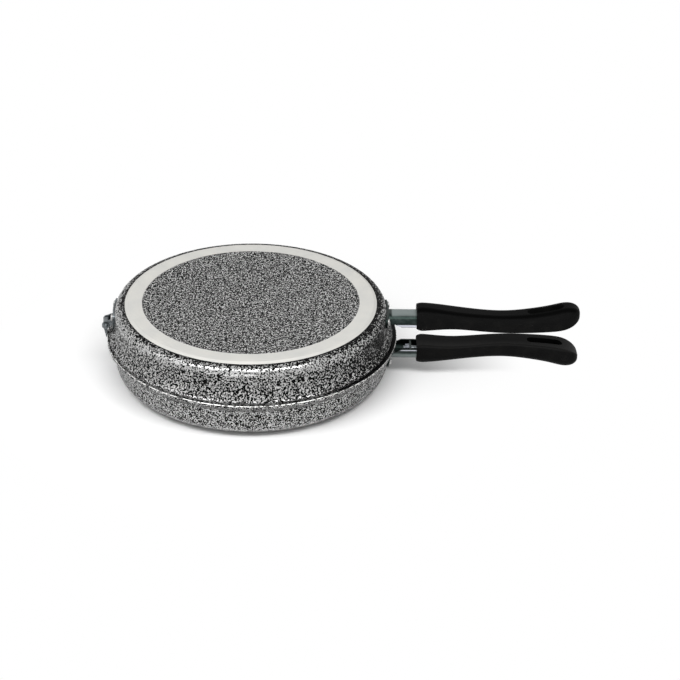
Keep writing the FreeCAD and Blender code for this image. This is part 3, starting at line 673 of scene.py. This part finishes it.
@dataclass(frozen=True)
class Pan:
    """One pan, turned about its axis. Heights are measured away from the parting plane.

    Attributes:
        name: the node that the pan stands in for.
        body: the body that it rides on.
        side: 1 where it lies above the parting plane, -1 where it lies below.
        axis_x: where its axis stands.
        depth: height of its outer base.
        rim: height of its rim face.
        ring: outer radius of the bare ring.
        corner: radius where base and wall would meet.
        shoulder: rounding between base and wall.
        wall: wall radius where the lip begins.
        rim_radius: outer radius of the rim.
        lip_edge: height of the lip's outer edge.
        fleck_scale: flecks on the wall, in waves for each metre.
        painted_lift: how much paler than usual the wall's greys are, as painted light.
        bracket_shade: how much denser the wall's flecks lie towards the bracket, as painted shade.
    """

    name: str
    body: str
    side: int
    axis_x: float
    depth: float
    rim: float
    ring: float
    corner: float
    shoulder: float
    wall: float
    rim_radius: float
    lip_edge: float
    fleck_scale: float
    painted_lift: float
    bracket_shade: float
    ring_width: float = 16.6 * MM
    ring_recess: float = 0.5 * MM
    ring_chamfer: float = 2.8 * MM
    ring_drop: float = 1.5 * MM
    ring_step_ease: float = 0.2 * MM
    ring_edge_ease: float = 1.2 * MM
    ring_foot_ease: float = 0.4 * MM
    thickness: float = 2.8 * MM
    floor: float = 3.4 * MM
    wall_ease: float = 3.0 * MM
    lip_height: float = 9.0 * MM
    lip_bend: float = 1.0 * MM
    lip_bend_ease: float = 0.7 * MM
    lip_edge_ease: float = 0.3 * MM
    rim_land: float = 7.0 * MM
    rim_chamfer: float = 0.4 * MM
    rim_ease: float = 0.15 * MM
    land_ease: float = 0.6 * MM
    bare_line: float = 0.55 * MM
    highlight_overrun: float = 0.6 * MM
    around: int = 288

    def outline(self) -> list[tuple[Pair, Region]]:
        """The pan's section from the middle of its base, round the rim, to the middle of its inside."""
        top = self.depth
        low = self.depth - self.ring_drop
        inner = self.ring - self.ring_width
        floor = self.depth - self.floor
        edge = self.rim_radius
        return rounded([
            (0.0, top - self.ring_recess, 0.0, Region.DISC),
            (inner, top - self.ring_recess, self.ring_step_ease, Region.RING),
            (inner, top, self.ring_step_ease, Region.RING),
            (self.ring - self.ring_chamfer, top, self.ring_edge_ease, Region.RING),
            (self.ring, low, self.ring_foot_ease, Region.WALL),
            (self.corner, low, self.shoulder, Region.WALL),
            (self.wall, self.lip_height, self.wall_ease, Region.WALL),
            (edge - self.lip_bend, self.lip_edge + self.lip_bend, self.lip_bend_ease, Region.WALL),
            (edge, self.lip_edge, self.lip_edge_ease, Region.WALL),
            (edge, self.rim + self.bare_line, 0.0, Region.EDGE),
            (edge, self.rim + self.rim_chamfer, self.rim_ease, Region.EDGE),
            (edge - self.rim_chamfer, self.rim, self.rim_ease, Region.LAND),
            (edge - self.rim_land, self.rim, self.land_ease, Region.INSIDE),
            (self.wall - self.thickness, self.lip_height, self.wall_ease, Region.INSIDE),
            (self.corner - self.thickness, floor, self.shoulder - self.thickness, Region.INSIDE),
            (0.0, floor, 0.0, Region.INSIDE),
        ])

    def finishes(self) -> dict[Region, bpy.types.Material]:
        """Make the finishes that belong to this pan alone, by region."""
        # The wall's greys are made paler here as painted light.
        grey, pale = (
            tuple(part * self.painted_lift for part in tone) for tone in (SpeckledCoating.grey, SpeckledCoating.pale))
        wall = SpeckledCoating(
            f"{self.name}_wall_speckle", self.axis_x, self.ring, grey, pale, fleck_scale=self.fleck_scale,
            thin_until=self.corner + self.highlight_overrun, bracket_shade=self.bracket_shade)
        disc = SpeckledCoating(
            f"{self.name}_disc_speckle", self.axis_x, grey=(0.46, 0.46, 0.455), pale=(0.90, 0.90, 0.89),
            fleck_scale=700.0, fleck_share=0.441, crowding=0.0)
        # The land's flecks lie denser, most towards the bracket: painted shade of the gap between the rims.
        land = SpeckledCoating(
            f"{self.name}_land_speckle", self.axis_x, fleck_scale=500.0, fleck_share=0.46, crowding=0.0,
            bracket_shade=0.2)
        ring = TurnedAluminium(f"{self.name}_turned_ring", self.axis_x)
        own = {Region.WALL: wall, Region.DISC: disc, Region.LAND: land, Region.RING: ring}
        return {region: finish.material() for region, finish in own.items()}

    def build(self, finishes: dict[Region, bpy.types.Material]) -> bpy.types.Object:
        """Turn the outline and dress each band with its region's finish.

        Args:
            finishes: one material for each region.

        Returns:
            The pan's object.
        """
        outline = self.outline()
        vertices: list[Vector] = []
        faces: list[tuple[int, ...]] = []
        slots: list[int] = []
        rows: list[list[int]] = []
        poles = (0, len(outline) - 1)
        for index, ((radius, away), _) in enumerate(outline):
            height = PARTING + away * self.side
            turns = 1 if index in poles else self.around
            rows.append(list(range(len(vertices), len(vertices) + turns)))
            for step in range(turns):
                angle = math.tau * step / self.around
                across = self.axis_x + radius * math.cos(angle)
                vertices.append(Vector((across, radius * math.sin(angle), height)))
        for (_, region), row, following in zip(outline, rows, rows[1:]):
            for near in range(self.around):
                far = (near + 1) % self.around
                if len(row) == 1:
                    face = (row[0], following[near], following[far])
                elif len(following) == 1:
                    face = (row[near], following[0], row[far])
                else:
                    face = (row[near], following[near], following[far], row[far])
                faces.append(face if self.side > 0 else face[::-1])
                slots.append(region.value)
        materials = [finishes[region] for region in Region]
        return new_piece(f"{self.name}_turned", vertices, faces, materials, slots)


@dataclass(frozen=True)
class Lamp:
    """One soft lamp that looks at the pan.

    Attributes:
        name: the lamp's name.
        watts: its power.
        size: its width and height.
        azimuth: degrees to the right of the front.
        elevation: degrees above the floor.
        distance: metres from the pan.
    """

    name: str
    watts: float
    size: Pair
    azimuth: float
    elevation: float
    distance: float

    def hang(self) -> None:
        """Put the lamp in its place."""
        data = bpy.data.lights.new(self.name, "AREA")
        data.energy = self.watts
        data.shape = "RECTANGLE"
        data.size, data.size_y = self.size
        lamp = bpy.data.objects.new(self.name, data)
        turn, rise = math.radians(self.azimuth), math.radians(self.elevation)
        back = Vector((math.sin(turn) * math.cos(rise), -math.cos(turn) * math.cos(rise), math.sin(rise)))
        lamp.location = back * self.distance
        lamp.rotation_euler = (-back).to_track_quat("-Z", "Y").to_euler()
        bpy.context.scene.collection.objects.link(lamp)


@dataclass(frozen=True)
class Studio:
    """Camera, lamps, floor and backdrop.

    Attributes:
        distance: metres from the camera to the point it stands opposite.
        focal_pixels: focal length in pixels of the picture.
        picture: side of the square picture in pixels.
        sensor: side of the camera's sensor in millimetres.
        pitch: degrees that the camera looks down.
        roll: degrees that it leans.
        yaw: degrees that it stands to the left.
        aim: pixel at which the middle of the parting plane shows.
        clip: nearest and farthest that it sees, in metres.
        daylight: the surrounding as light.
        white: the surrounding as it is seen.
        paper: the floor's colour.
        fade: radii between which the floor turns into the white surrounding.
    """

    distance: float = 1.9
    focal_pixels: float = 1956.7
    picture: float = 680.0
    sensor: float = 36.0
    pitch: float = 29.42
    roll: float = 1.06
    yaw: float = 0.95
    aim: Pair = (252.33, 331.67)
    clip: Pair = (0.05, 50.0)
    daylight: Colour = (0.34, 0.34, 0.34)
    white: Colour = (1.0, 1.0, 1.0)
    paper: Colour = (0.96, 0.96, 0.96)
    fade: Pair = (0.11, 0.27)
    floor_radius: float = 6.0
    floor_gap: float = 0.2 * MM
    floor_sides: int = 96
    lamps: tuple[Lamp, ...] = (
        Lamp("high_front", watts=36.0, size=(2.6, 0.65), azimuth=0.0, elevation=65.0, distance=1.9),
        Lamp("low_front", watts=6.0, size=(1.5, 1.3), azimuth=-14.0, elevation=14.0, distance=2.2),
        Lamp("left", watts=6.0, size=(1.3, 1.3), azimuth=-75.0, elevation=40.0, distance=2.2),
    )

    def camera(self) -> None:
        """Stand the camera where the photograph was taken from."""
        tilt, roll = math.radians(self.pitch), math.radians(self.roll)
        forward = Vector((0.0, math.cos(tilt), -math.sin(tilt)))
        up = Vector((0.0, math.sin(tilt), math.cos(tilt)))
        right = Vector((1.0, 0.0, 0.0))
        right_rolled = right * math.cos(roll) + up * math.sin(roll)
        up_rolled = up * math.cos(roll) - right * math.sin(roll)
        aim_across, aim_down = (place - self.picture / 2 for place in self.aim)
        scale = self.distance / self.focal_pixels
        spot = -forward * self.distance - right_rolled * aim_across * scale + up_rolled * aim_down * scale
        turn = Matrix.Rotation(math.radians(-self.yaw), 4, "Z")
        axes = Matrix((right_rolled, up_rolled, -forward)).transposed().to_4x4()
        data = bpy.data.cameras.new("camera")
        data.sensor_width = self.sensor
        data.lens = self.focal_pixels / self.picture * self.sensor
        data.clip_start, data.clip_end = self.clip
        camera = bpy.data.objects.new("camera", data)
        middle = Matrix.Translation((0.0, 0.0, PARTING))
        camera.matrix_world = middle @ turn @ (Matrix.Translation(spot) @ axes)
        bpy.context.scene.collection.objects.link(camera)
        bpy.context.scene.camera = camera

    @staticmethod
    def seen(graph: Graph) -> Wire:
        """1 for rays from the camera, and for those that mirrors and glass send on."""
        camera = graph.node("ShaderNodeLightPath", {}, {}, "Is Camera Ray")
        outputs = camera.socket.node.outputs
        glossy = Wire(graph, outputs["Is Glossy Ray"])
        through = Wire(graph, outputs["Is Transmission Ray"])
        return camera.larger(glossy).larger(through)

    def backdrop(self) -> None:
        """White to the camera and in reflections, a plain pale grey as light."""
        world = bpy.data.worlds.new("backdrop")
        bpy.context.scene.world = world
        graph = Graph(world)
        colour = graph.mix(self.seen(graph), self.daylight, self.white)
        graph.finish(graph.node("ShaderNodeBackground", {}, {"Color": colour}), "ShaderNodeOutputWorld")

    def floor(self) -> None:
        """Lay a plain pale floor that keeps the shadow and fades to white further out."""
        material, graph = new_graph("pale_floor")
        across, deep, _ = graph.split(graph.place())
        near, far = self.fade
        faded = (across * across + deep * deep).ramp(near ** 2, far ** 2)
        lit = graph.node("ShaderNodeBsdfDiffuse", {}, {"Color": (*self.paper, 1.0)})
        white = graph.node("ShaderNodeEmission", {}, {"Color": (*self.white, 1.0)})
        graph.finish(graph.node("ShaderNodeMixShader", {}, {0: self.seen(graph) * faded, 1: lit, 2: white}))
        angles = [math.tau * step / self.floor_sides for step in range(self.floor_sides)]
        corners = [
            (self.floor_radius * math.cos(angle), self.floor_radius * math.sin(angle), -self.floor_gap)
            for angle in angles
        ]
        floor = new_piece("floor", corners, [tuple(range(self.floor_sides))], [material])

    def build(self) -> None:
        """Set up the whole studio."""
        bpy.context.scene.view_settings.view_transform = "Standard"
        self.camera()
        for lamp in self.lamps:
            lamp.hang()
        self.backdrop()
        self.floor()
        LOG.info("studio: camera, %d lamps, floor and backdrop", len(self.lamps))


@dataclass(frozen=True)
class FlipPan:
    """The whole object: which finish each piece has, and which pieces are rebuilt here.

    Attributes:
        frame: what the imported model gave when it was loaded.
        edge_ease: how far the edges of sheet metal and fasteners are eased.
        ease_steps: short sides in each eased edge.
        ease_angle: degrees between faces from which an edge is eased.
        rim_overspray: share of the coating's spray that the bare rim caught.
        lower: the deep pan that stands on the hob.
        upper: the shallower pan that swings.
    """

    frame: dict[str, Any]
    edge_ease: float = 0.2 * MM
    ease_steps: int = 2
    ease_angle: float = 40.0
    rim_overspray: float = 0.9
    # The lower pan's paler wall greys are painted light.
    lower: Pan = Pan(
        "lower_pan", body="lower_half", side=-1, axis_x=0.0, depth=40.0 * MM, rim=0.0, ring=117.0 * MM,
        corner=130.2 * MM, shoulder=14.9 * MM, wall=134.6 * MM, rim_radius=140.0 * MM, lip_edge=2.8 * MM,
        fleck_scale=800.0, painted_lift=1.24, bracket_shade=0.0)
    upper: Pan = Pan(
        "upper_pan", body="upper_half", side=1, axis_x=-1.0 * MM, depth=35.0 * MM, rim=0.3 * MM,
        ring=121.1 * MM, corner=130.6 * MM, shoulder=9.2 * MM, wall=132.0 * MM, rim_radius=137.0 * MM,
        lip_edge=1.9 * MM, fleck_scale=680.0, painted_lift=1.0, bracket_shade=0.07)

    def pans(self) -> None:
        """Rebuild both pans with a finish for each region."""
        shared = {
            Region.INSIDE: CookingSurface("cooking_surface").material(),
            Region.EDGE: BareEdge("bare_rim", overspray=self.rim_overspray).material(),
        }
        for pan in (self.lower, self.upper):
            piece = pan.build({**shared, **pan.finishes()})
            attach(piece, pan.body)
            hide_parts(pan.name)
            LOG.info("%s: %d faces", piece.name, len(piece.data.polygons))

    def dress(self, words: Sequence[str], material: bpy.types.Material) -> None:
        """Give a finish to every carried-over node whose name holds one of some words.

        Args:
            words: parts of node names.
            material: the finish, in place of an earlier one.
        """
        for name, node in self.frame["nodes"].items():
            if any(word in name for word in words):
                node.data.materials.clear()
                node.data.materials.append(material)
                LOG.info("%s: %s", name, material.name)

    def ease_edges(self) -> None:
        """Take the sharpness off the edges of the sheet metal and fasteners."""
        for name, node in self.frame["nodes"].items():
            if not name.endswith(("_grip", "_pan")):
                bevel = node.modifiers.new("eased_edges", "BEVEL")
                bevel.width = self.edge_ease
                bevel.segments = self.ease_steps
                bevel.limit_method = "ANGLE"
                bevel.angle_limit = math.radians(self.ease_angle)

    def build(self) -> None:
        """Build and dress every piece. A later row of the table replaces an earlier one's finish."""
        self.pans()
        table = (
            (("upper_handle_bracket",), PlatedSteel("plated_steel")),
            # On the lower bracket the outer sides are painted lighter as well: painted light.
            (("lower_handle_bracket",), PlatedSteel(
                "side_lit_plated_steel", painted_side_light=0.95, hem_height=13.6 * MM, hem_edge=12.8 * MM)),
            (("rivets",), BareEdge(
                "rivet_aluminium", colour=(0.50, 0.50, 0.49), shade=(0.30, 0.30, 0.30), roughness=0.3)),
            (("_grip",), BlackMoulding("black_moulding")),
            (("leaf", "pin", "bolt"), PlatedSteel(
                "hinge_plating", colour=(0.32, 0.34, 0.355), dark=(0.085, 0.095, 0.10), spangle=0.5)),
            (("nut", "washer"), PlatedSteel(
                "bright_plating", colour=(0.55, 0.57, 0.61), dark=(0.35, 0.37, 0.41), spangle=0.4)),
        )
        for words, finish in table:
            self.dress(words, finish.material())
        self.ease_edges()


def main() -> None:
    """Build the studio and the pan."""
    logging.basicConfig(level=logging.INFO, format="%(name)s: %(message)s")
    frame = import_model()
    Studio().build()
    FlipPan(frame).build()


if __name__ == "__main__":
    main()
